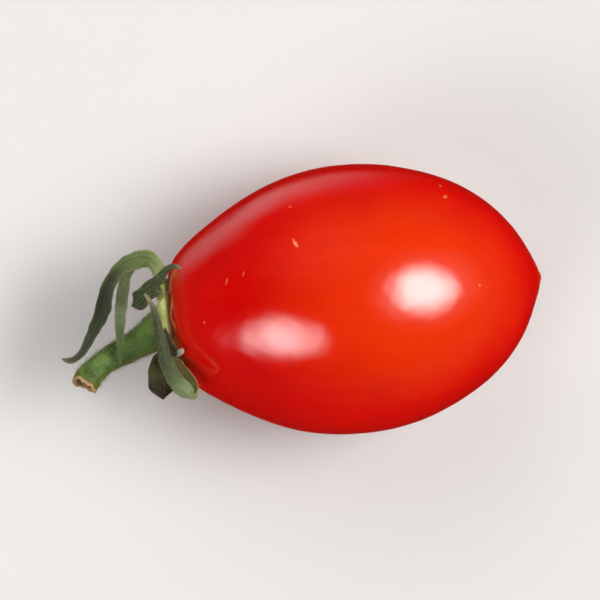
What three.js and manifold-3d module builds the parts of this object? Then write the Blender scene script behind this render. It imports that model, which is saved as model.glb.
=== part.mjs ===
// Grape tomato, picked with a short stem, lying on its side.
//
// Units are millimetres, +Z is up. The fruit's long axis runs along +X, from
// the stem end to the blossom end. The origin is the middle of the small flat
// spot the fruit rests on, straight below the fullest part of the fruit.
//
// The fruit is one solid. The green parts are separate pieces: a thin star
// shaped calyx base, a curved pedicel, five long curled sepals and one short
// withered one. Pieces that touch on the real fruit keep a gap of 0.3 mm.

import * as THREE from 'three';
import { mergeVertices } from 'three/addons/utils/BufferGeometryUtils.js';
import Module from 'manifold-3d';

const wasm = await Module();
wasm.setup();

// ---------------------------------------------------------------- dimensions

const FRUIT_RADIUS = 13.06;        // largest radius, across the fruit
const FRUIT_SQUASH = 0.975;        // height over width: it sags a little
const REST_CUT = 0.35;             // depth of the flat spot it rests on
const AXIS_Z = FRUIT_RADIUS * FRUIT_SQUASH - REST_CUT;
const FRUIT_SIDES = 52;
const SHOULDER_LOBES = 0.006;      // faint ribs round the stem shoulder

// Half outline of the fruit, [position along the axis, radius]. It starts in
// the bottom of the stem dimple and ends at the small blossom nub.
const FRUIT_PROFILE = [
  [-17.01, 0], [-17.07, 0.53], [-17.28, 1.11], [-17.54, 1.69], [-17.74, 2.23],
  [-17.83, 2.76], [-17.79, 3.34], [-17.63, 4.1], [-17.34, 4.99],
  [-16.81, 5.93], [-16.05, 6.73], [-14.71, 7.78], [-13.37, 8.67],
  [-12.04, 9.47], [-10.7, 10.32], [-9.36, 11.01], [-8.02, 11.64],
  [-6.69, 12.15], [-5.35, 12.51], [-4.01, 12.77], [-2.67, 12.95],
  [-1.34, 13.04], [0, FRUIT_RADIUS], [1.34, 13.02], [2.67, 12.88],
  [4.01, 12.66], [5.35, 12.33], [6.69, 11.93], [8.02, 11.46],
  [9.36, 10.88], [10.7, 10.21], [12.04, 9.34], [13.37, 8.29],
  [14.71, 6.98], [15.83, 5.48], [16.72, 3.88], [17.39, 2.36],
  [17.79, 1.38], [18.03, 0.69], [18.14, 0.31], [18.17, 0],
];

// Calyx base: a short plug in the dimple under a thin star shaped disc.
const BASE_SIDES = 60;
const BASE_LOBE = 0.2;             // how far the star's points reach out
const BASE_PROFILE = [
  [-19.06, 0], [-19.06, 1.2], [-19.05, 2.2], [-18.98, 2.9],
  [-18.78, 3.28], [-18.46, 3.36], [-18.24, 3.12], [-18.17, 2.7],
  [-18.15, 2.25], [-17.98, 1.7], [-17.68, 1.16], [-17.46, 0.58], [-17.4, 0],
];

// Angles of the six star points of the calyx base, degrees round +X from +Y.
const STAR_ANGLES = [10, 74, 106, 148, 225, 310];

// Curved pieces. Each row is one station along the piece:
// [x, y, z,  face direction x, y, z,  width, thickness, channel depth].
// The channel depth is a part of the half width: 0 is flat, 0.5 is a gutter.
const PEDICEL = [
  [-19.42, -0.76, 12.43, 0, 0, 1, 3.39, 3.32, 0],
  [-19.86, -1.09, 12.47, 0, 0, 1, 3.26, 3.19, 0],
  [-20.5, -1.46, 12.56, 0, 0, 1, 3.08, 3.01, 0],
  [-21.44, -1.87, 12.65, 0, 0, 1, 2.81, 2.75, 0],
  [-22.62, -2.35, 12.74, 0, 0, 1, 2.59, 2.53, 0],
  [-23.94, -2.87, 12.87, 0, 0, 1, 2.43, 2.38, 0],
  [-25.23, -3.57, 13.05, 0, 0, 1, 2.39, 2.34, 0],
  [-26.23, -4.39, 13.32, 0, 0, 1, 2.43, 2.38, 0],
  [-26.92, -5.32, 13.63, 0, 0, 1, 2.56, 2.51, 0],
];

const SEPAL_1 = [
  [-18.38, 4.28, 13.05, -0.9, 0, 0.4, 2.1, 0.66, 0.1],
  [-18.41, 4.86, 13.3, -0.75, -0.05, 0.65, 1.95, 0.66, 0.12],
  [-18.52, 5.43, 13.6, -0.6, -0.2, 0.75, 1.8, 0.64, 0.15],
  [-18.82, 5.93, 13.85, -0.4, -0.45, 0.75, 1.75, 0.62, 0.2],
  [-19.33, 6.24, 14.02, -0.15, -0.6, 0.78, 1.85, 0.6, 0.25],
  [-20.05, 6.34, 14.1, 0.05, -0.58, 0.8, 2.05, 0.58, 0.3],
  [-20.92, 6.24, 14.08, 0.15, -0.5, 0.85, 2.05, 0.56, 0.3],
  [-21.82, 5.86, 13.95, 0.3, -0.4, 0.86, 1.95, 0.54, 0.35],
  [-22.62, 5.19, 13.75, 0.35, -0.3, 0.88, 1.85, 0.52, 0.4],
  [-23.3, 4.33, 13.52, 0.35, -0.15, 0.92, 1.8, 0.5, 0.45],
  [-23.8, 3.31, 13.33, 0.3, -0.1, 0.94, 1.76, 0.48, 0.5],
  [-24.17, 2.23, 13.18, 0.25, -0.1, 0.95, 1.74, 0.46, 0.5],
  [-24.62, 1.16, 13.05, 0.2, -0.1, 0.96, 1.7, 0.44, 0.5],
  [-25.24, 0.16, 13.07, 0.2, -0.1, 0.96, 1.5, 0.42, 0.5],
  [-25.8, -0.76, 13.12, 0.15, 0, 0.97, 1.15, 0.4, 0.45],
  [-26.37, -1.64, 13.23, 0.1, 0.05, 0.98, 0.95, 0.38, 0.4],
  [-26.99, -2.33, 13.36, 0.1, 0.15, 0.97, 0.85, 0.36, 0.3],
  [-27.68, -2.65, 13.52, 0.05, 0.25, 0.95, 0.76, 0.34, 0.2],
  [-28.22, -2.63, 13.7, 0, 0.3, 0.95, 0.56, 0.3, 0.15],
  [-28.68, -2.35, 13.9, 0, 0.3, 0.95, 0.34, 0.26, 0.1],
];

const SEPAL_2 = [
  [-18.5, 2.77, 9.04, -1, 0, 0, 2.1, 0.6, 0.1],
  [-18.5, 3.66, 8.68, -1, -0.1, 0, 2.15, 0.6, 0.1],
  [-18.52, 4.67, 8.55, -0.9, -0.35, 0.1, 2.15, 0.6, 0.1],
  [-18.69, 5.53, 8.82, -0.6, -0.75, 0.15, 2.05, 0.58, 0.15],
  [-19.31, 6.14, 9.44, -0.2, -0.93, 0.25, 1.95, 0.56, 0.2],
  [-20.19, 6.29, 10.07, 0.15, -0.9, 0.35, 1.85, 0.54, 0.25],
  [-21.02, 5.99, 10.64, 0.4, -0.65, 0.6, 1.8, 0.52, 0.3],
  [-21.58, 5.29, 10.8, 0.5, -0.25, 0.8, 1.7, 0.5, 0.35],
  [-21.94, 4.31, 11.2, 0.55, 0.1, 0.83, 1.6, 0.48, 0.4],
  [-22.24, 3, 11.98, 0.5, 0.2, 0.83, 1.5, 0.46, 0.4],
  [-22.52, 1.56, 13.05, 0.45, 0.25, 0.85, 1.4, 0.44, 0.4],
  [-22.73, 0.13, 14.12, 0.4, 0.3, 0.86, 1.2, 0.42, 0.35],
  [-22.85, -1.09, 14.66, 0.35, 0.25, 0.9, 0.85, 0.36, 0.25],
  [-22.97, -2.31, 14.97, 0.3, 0.15, 0.94, 0.45, 0.3, 0.15],
  [-23.04, -3.61, 15.06, 0.3, 0.1, 0.95, 0.28, 0.26, 0.1],
];

const SEPAL_3 = [
  [-18.66, 2.06, 16.6, -0.75, 0, 0.65, 2.1, 0.62, 0.1],
  [-19.19, 1.91, 16.66, -0.4, 0.1, 0.9, 2.05, 0.6, 0.1],
  [-19.9, 1.83, 16.5, 0, 0.15, 0.97, 2, 0.56, 0.1],
  [-20.55, 1.8, 16.44, 0.3, 0.1, 0.93, 1.95, 0.54, 0.1],
  [-20.97, 1.87, 16.71, 0.8, 0.1, 0.55, 1.9, 0.52, 0.15],
  [-20.98, 2.12, 17.2, 0.85, 0.1, -0.45, 1.9, 0.5, 0.2],
  [-20.57, 2.43, 17.51, 0.3, 0.1, -0.93, 1.9, 0.48, 0.25],
  [-19.98, 2.85, 17.6, 0.1, 0.1, -0.97, 1.85, 0.47, 0.3],
  [-19.29, 3.38, 17.6, 0, 0.15, -0.97, 1.6, 0.46, 0.3],
  [-18.54, 3.94, 17.6, -0.05, 0.2, -0.96, 1.3, 0.44, 0.3],
  [-17.85, 4.53, 17.62, -0.05, 0.2, -0.96, 0.95, 0.4, 0.3],
  [-17.25, 5.04, 17.76, 0, 0.1, -0.97, 0.62, 0.34, 0.2],
  [-16.65, 5.13, 18.02, 0.25, 0, -0.95, 0.42, 0.3, 0.1],
  [-16.07, 4.77, 18.38, 0.4, -0.2, -0.87, 0.28, 0.26, 0.1],
];

const SEPAL_4 = [
  [-18.4, -3.57, 14.64, -0.85, -0.2, 0.45, 2.2, 0.64, 0.1],
  [-17.9, -4.22, 15.77, -0.75, -0.25, 0.6, 2.15, 0.62, 0.1],
  [-17.15, -5.1, 16.75, -0.72, -0.2, 0.65, 2.05, 0.6, 0.1],
  [-16.54, -6.15, 17.38, -0.7, 0.1, 0.65, 1.95, 0.58, 0.15],
  [-16.24, -7.07, 17.73, -0.6, 0.55, 0.4, 1.9, 0.56, 0.2],
  [-16.35, -7.43, 18.18, -0.45, 0.85, -0.1, 1.88, 0.54, 0.25],
  [-16.85, -7.08, 18.67, -0.25, 0.6, -0.75, 1.86, 0.54, 0.3],
  [-17.56, -6.23, 18.89, -0.1, 0.3, -0.95, 1.86, 0.52, 0.3],
  [-18.19, -5.13, 18.94, 0.05, 0.1, -0.98, 1.86, 0.5, 0.35],
  [-18.58, -3.87, 18.85, 0.1, 0.1, -0.98, 1.75, 0.5, 0.35],
  [-18.78, -2.59, 18.71, 0.1, 0.05, -0.98, 1.5, 0.48, 0.35],
  [-18.91, -1.22, 18.62, 0.15, 0.05, -0.98, 1.2, 0.46, 0.3],
  [-19, 0.09, 18.62, 0.15, 0.05, -0.98, 0.9, 0.42, 0.25],
  [-19.17, 1.32, 18.71, 0.1, 0, -0.98, 0.6, 0.36, 0.2],
  [-19.47, 2.21, 18.89, 0, 0, -0.98, 0.42, 0.3, 0.1],
  [-19.84, 2.88, 19.16, 0, 0, -0.98, 0.28, 0.26, 0.1],
];

const SEPAL_5 = [
  [-18.5, -3.1, 9.25, -1, 0, 0.1, 2.1, 0.62, 0.1],
  [-18.58, -4.09, 8.59, -0.85, -0.15, 0.45, 2.15, 0.6, 0.1],
  [-18.74, -5.2, 8.15, -0.55, -0.2, 0.8, 2.15, 0.58, 0.15],
  [-19.04, -6.28, 8.01, -0.35, 0, 0.93, 2.1, 0.56, 0.15],
  [-19.41, -7.05, 8.37, -0.25, 0.75, 0.6, 2, 0.54, 0.2],
  [-19.74, -7.19, 9.04, -0.1, 0.98, -0.1, 1.9, 0.52, 0.2],
  [-19.96, -6.62, 9.53, 0.1, 0.5, -0.85, 1.8, 0.5, 0.25],
  [-20.06, -5.58, 9.71, 0.15, 0.1, -0.98, 1.65, 0.48, 0.3],
  [-20, -4.46, 9.71, 0.2, 0, -0.98, 1.35, 0.44, 0.3],
  [-19.8, -3.59, 9.71, 0.2, 0, -0.98, 0.9, 0.38, 0.2],
  [-19.55, -2.94, 9.71, 0.2, 0, -0.98, 0.32, 0.28, 0.1],
];

const SEPAL_6 = [
  [-18.38, -1.38, 16.6, -0.75, -0.1, 0.65, 1.3, 0.48, 0.05],
  [-18.12, -2.22, 16.98, -0.75, -0.1, 0.65, 1.2, 0.44, 0.1],
  [-17.77, -2.91, 17.42, -0.7, 0, 0.7, 1.05, 0.4, 0.1],
  [-17.3, -3.15, 17.91, -0.7, 0.2, 0.65, 0.8, 0.36, 0.1],
  [-16.76, -2.92, 18.4, -0.65, 0.3, 0.65, 0.45, 0.3, 0.1],
];

// ------------------------------------------------------------------- helpers

function material(color, roughness) {
  return new THREE.MeshStandardMaterial({ color, roughness, metalness: 0 });
}

// Turn a half outline round the long axis. The lathe turns round Y, so the
// result is tipped over onto +X.
function turned(profile, sides) {
  const outline = profile.map(([along, radius]) => new THREE.Vector2(radius, along));
  const geometry = new THREE.LatheGeometry(outline, sides);
  geometry.rotateZ(-Math.PI / 2);
  return geometry;
}

// Merge the seams, so that the surface is one closed skin.
function closed(geometry) {
  geometry.deleteAttribute('normal');
  geometry.deleteAttribute('uv');
  const merged = mergeVertices(geometry, 1e-5);
  merged.computeVertexNormals();
  return merged;
}

function toSolid(geometry) {
  const merged = closed(geometry);
  return new wasm.Manifold(new wasm.Mesh({
    numProp: 3,
    vertProperties: new Float32Array(merged.attributes.position.array),
    triVerts: new Uint32Array(merged.index.array),
  }));
}

function fromSolid(solid) {
  const mesh = solid.getMesh();
  const geometry = new THREE.BufferGeometry();
  geometry.setAttribute('position', new THREE.BufferAttribute(mesh.vertProperties, 3));
  geometry.setIndex(new THREE.BufferAttribute(mesh.triVerts, 1));
  geometry.computeVertexNormals();
  return geometry;
}

// Bend a cylinder along the stations of a curved piece. Round the cylinder,
// one direction becomes the width and the other the thickness. thinEdge takes
// that part of the thickness off at the two long edges. Where squareTo is
// given, the first end is cut square to that direction.
function bent(stations, around, along, thinEdge, squareTo) {
  const centre = new THREE.CatmullRomCurve3(stations.map(s => new THREE.Vector3(s[0], s[1], s[2])));
  const face = new THREE.CatmullRomCurve3(stations.map(s => new THREE.Vector3(s[3], s[4], s[5]).normalize()));
  const section = new THREE.CatmullRomCurve3(stations.map(s => new THREE.Vector3(s[6], s[7], s[8])));
  const geometry = new THREE.CylinderGeometry(1, 1, 1, around, along);
  const position = geometry.attributes.position;
  const point = new THREE.Vector3();
  for (let i = 0; i < position.count; i++) {
    const across = position.getX(i);
    const through = position.getZ(i);
    const t = Math.min(1, Math.max(0, 0.5 - position.getY(i)));
    const tangent = centre.getTangent(t);
    if (squareTo) {
      tangent.lerp(squareTo, 1 - THREE.MathUtils.smoothstep(t, 0, 0.3)).normalize();
    }
    const up = face.getPoint(t);
    up.addScaledVector(tangent, -up.dot(tangent)).normalize();
    const side = new THREE.Vector3().crossVectors(up, tangent);
    const size = section.getPoint(t);
    const half = size.x / 2;
    const lift = size.z * half * (across * across - 0.4)
      + through * size.y / 2 * (1 - thinEdge * across * across);
    centre.getPoint(t, point);
    point.addScaledVector(side, across * half);
    point.addScaledVector(up, lift);
    position.setXYZ(i, point.x, point.y, point.z);
  }
  return closed(geometry);
}

// --------------------------------------------------------------------- fruit

function makeFruit() {
  const geometry = turned(FRUIT_PROFILE, FRUIT_SIDES);
  const position = geometry.attributes.position;
  for (let i = 0; i < position.count; i++) {
    const x = position.getX(i);
    let y = position.getY(i);
    let z = position.getZ(i);
    const turn = Math.atan2(z, y);
    const shoulder = Math.exp(-(((x + 13) / 4.5) ** 2));
    const rib = 1 + SHOULDER_LOBES * shoulder * Math.cos(5 * turn + 0.7);
    y *= rib;
    z *= rib * FRUIT_SQUASH;
    position.setXYZ(i, x, y, z + AXIS_Z);
  }
  const below = new THREE.BoxGeometry(60, 60, 20);
  below.translate(0, 0, -10);
  return fromSolid(toSolid(geometry).subtract(toSolid(below)));
}

// ------------------------------------------------------------- calyx base

function makeBase() {
  const geometry = turned(BASE_PROFILE, BASE_SIDES);
  const position = geometry.attributes.position;
  for (let i = 0; i < position.count; i++) {
    const x = position.getX(i);
    const y = position.getY(i);
    const z = position.getZ(i);
    const radius = Math.hypot(y, z);
    const turn = Math.atan2(z, y);
    let lobe = 0;
    for (const degrees of STAR_ANGLES) {
      const off = turn - degrees * Math.PI / 180;
      const apart = Math.atan2(Math.sin(off), Math.cos(off));
      lobe = Math.max(lobe, Math.exp(-((apart / 0.27) ** 2)));
    }
    const reach = 1 + BASE_LOBE * (lobe - 0.35) * THREE.MathUtils.smoothstep(radius, 2.3, 3.2);
    position.setXYZ(i, x, y * reach, z * reach + AXIS_Z);
  }
  return closed(geometry);
}

// ------------------------------------------------------------------ assembly

const tomato = new THREE.Group();

function add(name, geometry, surface) {
  const mesh = new THREE.Mesh(geometry, surface);
  mesh.name = name;
  tomato.add(mesh);
}

const skin = material(0xd21c0e, 0.25);
const paleGreen = material(0xa9b774, 0.6);
const stemGreen = material(0x587a39, 0.6);
const leafGreen = material(0x65795a, 0.65);
const dryGreen = material(0x5a5a3c, 0.75);

add('fruit', makeFruit(), skin);
add('calyx_base', makeBase(), paleGreen);
add('pedicel', bent(PEDICEL, 16, 24, 0, new THREE.Vector3(-1, 0, 0)), stemGreen);
add('sepal_1', bent(SEPAL_1, 12, 40, 0.45), leafGreen);
add('sepal_2', bent(SEPAL_2, 12, 30, 0.45), leafGreen);
add('sepal_3', bent(SEPAL_3, 12, 30, 0.45), leafGreen);
add('sepal_4', bent(SEPAL_4, 12, 36, 0.45), leafGreen);
add('sepal_5', bent(SEPAL_5, 12, 24, 0.45), dryGreen);
add('sepal_6', bent(SEPAL_6, 10, 12, 0.45), dryGreen);

export default tomato;
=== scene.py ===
"""Looks of the grape tomato. Blender 4.5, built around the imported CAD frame.

Shapes are worked out in millimetres in the row frame and written in metres.
+X runs from the stem end to the blossom end, +Z is up, and the fruit rests on
z = 0.
"""

import math

import bpy
import numpy as np
from mathutils import Matrix, Vector


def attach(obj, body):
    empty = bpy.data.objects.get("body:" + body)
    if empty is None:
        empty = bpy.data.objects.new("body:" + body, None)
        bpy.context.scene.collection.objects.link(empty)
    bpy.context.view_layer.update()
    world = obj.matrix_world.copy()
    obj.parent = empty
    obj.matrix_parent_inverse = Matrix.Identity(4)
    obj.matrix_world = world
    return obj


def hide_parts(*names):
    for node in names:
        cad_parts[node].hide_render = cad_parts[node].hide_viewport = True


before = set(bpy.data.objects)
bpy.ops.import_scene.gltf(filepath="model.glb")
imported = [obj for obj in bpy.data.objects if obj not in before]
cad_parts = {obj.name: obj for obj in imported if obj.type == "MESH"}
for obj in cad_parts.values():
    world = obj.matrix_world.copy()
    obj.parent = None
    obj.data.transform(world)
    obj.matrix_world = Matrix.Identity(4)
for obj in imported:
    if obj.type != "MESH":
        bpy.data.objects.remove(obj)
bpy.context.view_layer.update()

MM = 0.001

# ------------------------------------------------------------------ dimensions

FRUIT_RADIUS = 13.06
FRUIT_SQUASH = 0.975
REST_CUT = 0.35
AXIS_Z = FRUIT_RADIUS * FRUIT_SQUASH - REST_CUT
SHOULDER_LOBES = 0.006

# Half outline of the fruit: [position along the axis, radius].
FRUIT_PROFILE = [
    [-17.01, 0], [-17.07, 0.53], [-17.28, 1.11], [-17.54, 1.69], [-17.74, 2.23],
    [-17.83, 2.76], [-17.79, 3.34], [-17.63, 4.1], [-17.34, 4.99],
    [-16.81, 5.93], [-16.05, 6.73], [-14.71, 7.78], [-13.37, 8.67],
    [-12.04, 9.47], [-10.7, 10.32], [-9.36, 11.01], [-8.02, 11.64],
    [-6.69, 12.15], [-5.35, 12.51], [-4.01, 12.77], [-2.67, 12.95],
    [-1.34, 13.04], [0, FRUIT_RADIUS], [1.34, 13.02], [2.67, 12.88],
    [4.01, 12.66], [5.35, 12.33], [6.69, 11.93], [8.02, 11.46],
    [9.36, 10.88], [10.7, 10.21], [12.04, 9.34], [13.37, 8.29],
    [14.71, 6.98], [15.83, 5.48], [16.72, 3.88], [17.39, 2.36],
    [17.79, 1.38], [18.03, 0.69], [18.14, 0.31], [18.17, 0],
]

# Half outline of the calyx base. Its fruit side is drawn out a little so that
# it lies on the fruit, as the grown one does.
BASE_PROFILE = [
    [-18.82, 0], [-18.82, 1.2], [-18.82, 2.2], [-18.79, 2.85], [-18.7, 3.28],
    [-18.53, 3.55], [-18.3, 3.68], [-18.04, 3.72], [-17.82, 3.68], [-17.66, 3.5],
    [-17.58, 3.1], [-17.5, 2.4], [-17.3, 1.5], [-17.1, 0.7], [-17.0, 0],
]
STAR_ANGLES = [10, 56, 106, 148, 225, 310]

# Curved pieces, one station a row:
# [x, y, z,  face direction x, y, z,  width, thickness, channel depth].
PEDICEL = [
    [-18.5, -0.3, 12.4, 0, 0, 1, 5.2, 5.1, 0],
    [-18.82, -0.44, 12.4, 0, 0, 1, 4.5, 4.4, 0],
    [-19.1, -0.58, 12.41, 0, 0, 1, 3.95, 3.85, 0],
    [-19.42, -0.76, 12.43, 0, 0, 1, 3.5, 3.42, 0],
    [-19.86, -1.09, 12.47, 0, 0, 1, 3.28, 3.2, 0],
    [-20.5, -1.46, 12.56, 0, 0, 1, 3.08, 3.01, 0],
    [-21.44, -1.87, 12.65, 0, 0, 1, 2.81, 2.75, 0],
    [-22.62, -2.35, 12.74, 0, 0, 1, 2.59, 2.53, 0],
    [-23.94, -2.87, 12.87, 0, 0, 1, 2.43, 2.38, 0],
    [-25.23, -3.57, 13.05, 0, 0, 1, 2.39, 2.34, 0],
    [-26.23, -4.39, 13.32, 0, 0, 1, 2.43, 2.38, 0],
    [-26.86, -5.22, 13.6, 0, 0, 1, 2.54, 2.49, 0],
]

SEPAL_1 = [
    [-18.42, 4.28, 13.1, -0.75, -0.1, 0.65, 1.75, 0.8, 0.02],
    [-18.45, 4.86, 13.35, -0.55, -0.2, 0.8, 1.65, 0.78, 0],
    [-18.56, 5.4, 13.62, -0.4, -0.3, 0.86, 1.6, 0.76, 0],
    [-18.86, 5.88, 13.85, -0.2, -0.38, 0.9, 1.7, 0.72, 0.04],
    [-19.35, 6.17, 14.02, -0.05, -0.4, 0.91, 1.86, 0.68, 0.1],
    [-20.05, 6.25, 14.1, 0, -0.36, 0.93, 1.94, 0.62, 0.16],
    [-20.92, 6.12, 14.08, 0.05, -0.34, 0.94, 1.74, 0.58, 0.2],
    [-21.82, 5.76, 13.95, 0.15, -0.3, 0.94, 1.45, 0.54, 0.25],
    [-22.62, 5.14, 13.75, 0.25, -0.25, 0.93, 1.38, 0.52, 0.35],
    [-23.3, 4.33, 13.52, 0.3, -0.15, 0.94, 1.38, 0.5, 0.5],
    [-23.8, 3.31, 13.33, 0.3, -0.1, 0.95, 1.46, 0.48, 0.6],
    [-24.17, 2.23, 13.18, 0.25, -0.1, 0.96, 1.58, 0.46, 0.62],
    [-24.62, 1.16, 13.05, 0.2, -0.1, 0.97, 1.46, 0.44, 0.6],
    [-25.24, 0.16, 13.07, 0.2, -0.1, 0.97, 1.22, 0.42, 0.5],
    [-25.8, -0.76, 13.12, 0.15, 0, 0.98, 1.0, 0.4, 0.4],
    [-26.37, -1.64, 13.23, 0.1, 0.05, 0.99, 0.82, 0.38, 0.3],
    [-26.99, -2.33, 13.36, 0.1, 0.15, 0.98, 0.7, 0.36, 0.2],
    [-27.68, -2.65, 13.52, 0.05, 0.25, 0.96, 0.66, 0.34, 0.1],
    [-28.22, -2.63, 13.7, 0, 0.3, 0.95, 0.52, 0.3, 0.1],
    [-28.68, -2.35, 13.9, 0, 0.3, 0.95, 0.34, 0.26, 0.1],
]

SEPAL_2 = [
    [-18.5, 2.77, 9.04, -1, 0, 0, 2.1, 0.6, 0.1],
    [-18.5, 3.66, 8.68, -1, -0.1, 0, 2.15, 0.6, 0.1],
    [-18.52, 4.67, 8.55, -0.9, -0.35, 0.1, 2.15, 0.6, 0.1],
    [-18.69, 5.53, 8.82, -0.6, -0.75, 0.15, 2.0, 0.58, 0.1],
    [-19.31, 6.14, 9.44, -0.2, -0.93, 0.25, 1.85, 0.56, 0.15],
    [-20.19, 6.29, 10.07, 0.15, -0.9, 0.35, 1.7, 0.54, 0.2],
    [-21.02, 5.99, 10.64, 0.3, -0.65, 0.7, 1.55, 0.52, 0.2],
    [-21.58, 5.29, 10.8, 0.3, -0.2, 0.9, 1.35, 0.5, 0.2],
    [-21.94, 4.31, 11.2, 0.3, 0.1, 0.94, 1.2, 0.48, 0.25],
    [-22.24, 3, 11.98, 0.25, 0.25, 0.93, 1.2, 0.46, 0.3],
    [-22.52, 1.56, 13.05, 0.2, 0.3, 0.93, 1.16, 0.44, 0.3],
    [-22.73, 0.13, 14.12, 0.2, 0.3, 0.93, 0.98, 0.42, 0.3],
    [-22.85, -1.09, 14.66, 0.15, 0.25, 0.95, 0.74, 0.36, 0.25],
    [-22.97, -2.31, 14.97, 0.1, 0.15, 0.97, 0.45, 0.3, 0.15],
    [-23.04, -3.61, 15.06, 0.1, 0.1, 0.98, 0.28, 0.26, 0.1],
]

SEPAL_3 = [
    [-18.6, 2.95, 16.1, -0.75, 0, 0.65, 1.3, 0.6, 0.1],
    [-19.15, 2.9, 16.2, -0.4, 0.1, 0.9, 1.1, 0.56, 0.1],
    [-19.8, 2.5, 16.2, 0, 0.15, 0.97, 1.15, 0.52, 0.15],
    [-20.35, 2.12, 16.22, 0.3, 0.1, 0.93, 1.45, 0.5, 0.3],
    [-20.76, 1.92, 16.44, 0.7, 0.1, 0.7, 1.25, 0.49, 0.35],
    [-21.0, 1.88, 16.86, 1, 0.1, 0, 0.65, 0.47, 0.3],
    [-20.82, 2.08, 17.25, 0.75, 0.1, -0.65, 1.35, 0.46, 0.35],
    [-20.44, 2.46, 17.5, 0.3, 0.1, -0.94, 1.72, 0.46, 0.35],
    [-20.0, 2.86, 17.6, 0.1, 0.1, -0.97, 1.45, 0.46, 0.3],
    [-19.3, 3.4, 17.6, 0, 0.15, -0.97, 1.22, 0.46, 0.3],
    [-18.54, 3.96, 17.6, -0.05, 0.2, -0.96, 1.02, 0.44, 0.3],
    [-17.85, 4.53, 17.62, -0.05, 0.2, -0.96, 0.8, 0.4, 0.3],
    [-17.25, 5.04, 17.76, 0, 0.1, -0.97, 0.58, 0.34, 0.2],
    [-16.65, 5.13, 18.02, 0.25, 0, -0.95, 0.42, 0.3, 0.1],
    [-16.07, 4.77, 18.38, 0.4, -0.2, -0.87, 0.28, 0.26, 0.1],
]

SEPAL_4 = [
    [-18.4, -3.57, 14.64, -0.85, -0.2, 0.45, 2.2, 0.64, 0.1],
    [-17.9, -4.22, 15.77, -0.75, -0.25, 0.6, 2.15, 0.62, 0.1],
    [-17.15, -5.1, 16.75, -0.72, -0.2, 0.65, 2.05, 0.6, 0.1],
    [-16.54, -6.15, 17.38, -0.7, 0.1, 0.65, 1.8, 0.58, 0.15],
    [-16.28, -6.98, 17.75, -0.6, 0.55, 0.4, 1.45, 0.54, 0.3],
    [-16.44, -7.44, 18.18, -0.45, 0.85, -0.1, 0.6, 0.52, 0.3],
    [-16.87, -7.04, 18.65, -0.25, 0.6, -0.75, 1.4, 0.52, 0.35],
    [-17.56, -6.2, 18.87, -0.1, 0.3, -0.95, 1.66, 0.52, 0.25],
    [-18.17, -5.1, 18.92, 0.05, 0.1, -0.98, 1.5, 0.5, 0.3],
    [-18.56, -3.85, 18.84, 0.1, 0.1, -0.98, 1.34, 0.48, 0.3],
    [-18.77, -2.59, 18.71, 0.1, 0.05, -0.98, 1.2, 0.46, 0.3],
    [-18.9, -1.22, 18.62, 0.15, 0.05, -0.98, 1.02, 0.44, 0.3],
    [-19, 0.09, 18.62, 0.15, 0.05, -0.98, 0.8, 0.4, 0.25],
    [-19.17, 1.32, 18.71, 0.1, 0, -0.98, 0.56, 0.36, 0.2],
    [-19.47, 2.21, 18.89, 0, 0, -0.98, 0.4, 0.3, 0.1],
    [-19.84, 2.88, 19.16, 0, 0, -0.98, 0.28, 0.26, 0.1],
]

SEPAL_5 = [
    [-18.5, -3.1, 9.25, -1, 0, 0.1, 2.1, 0.62, 0.1],
    [-18.58, -4.09, 8.59, -0.85, -0.15, 0.45, 2.15, 0.6, 0.1],
    [-18.74, -5.2, 8.15, -0.55, -0.2, 0.8, 2.15, 0.58, 0.15],
    [-19.04, -6.28, 8.01, -0.35, 0, 0.93, 1.95, 0.56, 0.15],
    [-19.41, -6.98, 8.37, -0.25, 0.75, 0.6, 1.5, 0.52, 0.3],
    [-19.72, -7.18, 9.04, -0.1, 0.98, -0.1, 0.65, 0.5, 0.3],
    [-19.94, -6.64, 9.53, 0.1, 0.5, -0.85, 1.45, 0.48, 0.35],
    [-20.06, -5.58, 9.71, 0.15, 0.1, -0.98, 1.65, 0.46, 0.35],
    [-20, -4.46, 9.71, 0.2, 0, -0.98, 1.35, 0.44, 0.3],
    [-19.8, -3.59, 9.71, 0.2, 0, -0.98, 0.9, 0.38, 0.2],
    [-19.55, -2.94, 9.71, 0.2, 0, -0.98, 0.32, 0.28, 0.1],
]

SEPAL_6 = [
    [-18.38, -1.38, 16.6, -0.75, -0.1, 0.65, 1.3, 0.48, 0.05],
    [-18.12, -2.22, 16.98, -0.75, -0.1, 0.65, 1.2, 0.44, 0.1],
    [-17.77, -2.91, 17.42, -0.7, 0, 0.7, 1.05, 0.4, 0.1],
    [-17.3, -3.15, 17.91, -0.7, 0.2, 0.65, 0.8, 0.36, 0.1],
    [-16.76, -2.92, 18.4, -0.65, 0.3, 0.65, 0.45, 0.3, 0.1],
]

# ------------------------------------------------------------------ small tools


def smoothstep(x, low, high):
    s = np.clip((np.asarray(x, float) - low) / (high - low), 0, 1)
    return s * s * (3 - 2 * s)


def unit(v):
    return v / np.maximum(np.linalg.norm(v, axis=-1, keepdims=True), 1e-9)


class Waves:
    """Smooth, repeatable noise of about -1 to 1: plane waves of seeded directions. size is the wave length in mm."""

    def __init__(self, seed, size, count=28):
        rng = np.random.RandomState(seed)
        length = size * np.exp(rng.uniform(-0.5, 0.5, count))
        self.k = unit(rng.normal(size=(count, 3))) * (2 * np.pi / length)[:, None]
        self.phase = rng.uniform(0, 2 * np.pi, count)

    def __call__(self, points):
        return np.sin(points @ self.k.T + self.phase).sum(-1) / math.sqrt(
            len(self.phase)
        )


def wobble(seed, distance, size):
    """Smooth noise along a line. distance and size are in mm."""
    rng = np.random.RandomState(seed)
    total = np.zeros_like(distance, float)
    for _ in range(7):
        length = size * math.exp(rng.uniform(-0.6, 0.6))
        total += np.sin(
            2 * np.pi * distance / length + rng.uniform(0, 2 * np.pi)
        )
    return total / math.sqrt(7)


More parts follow.
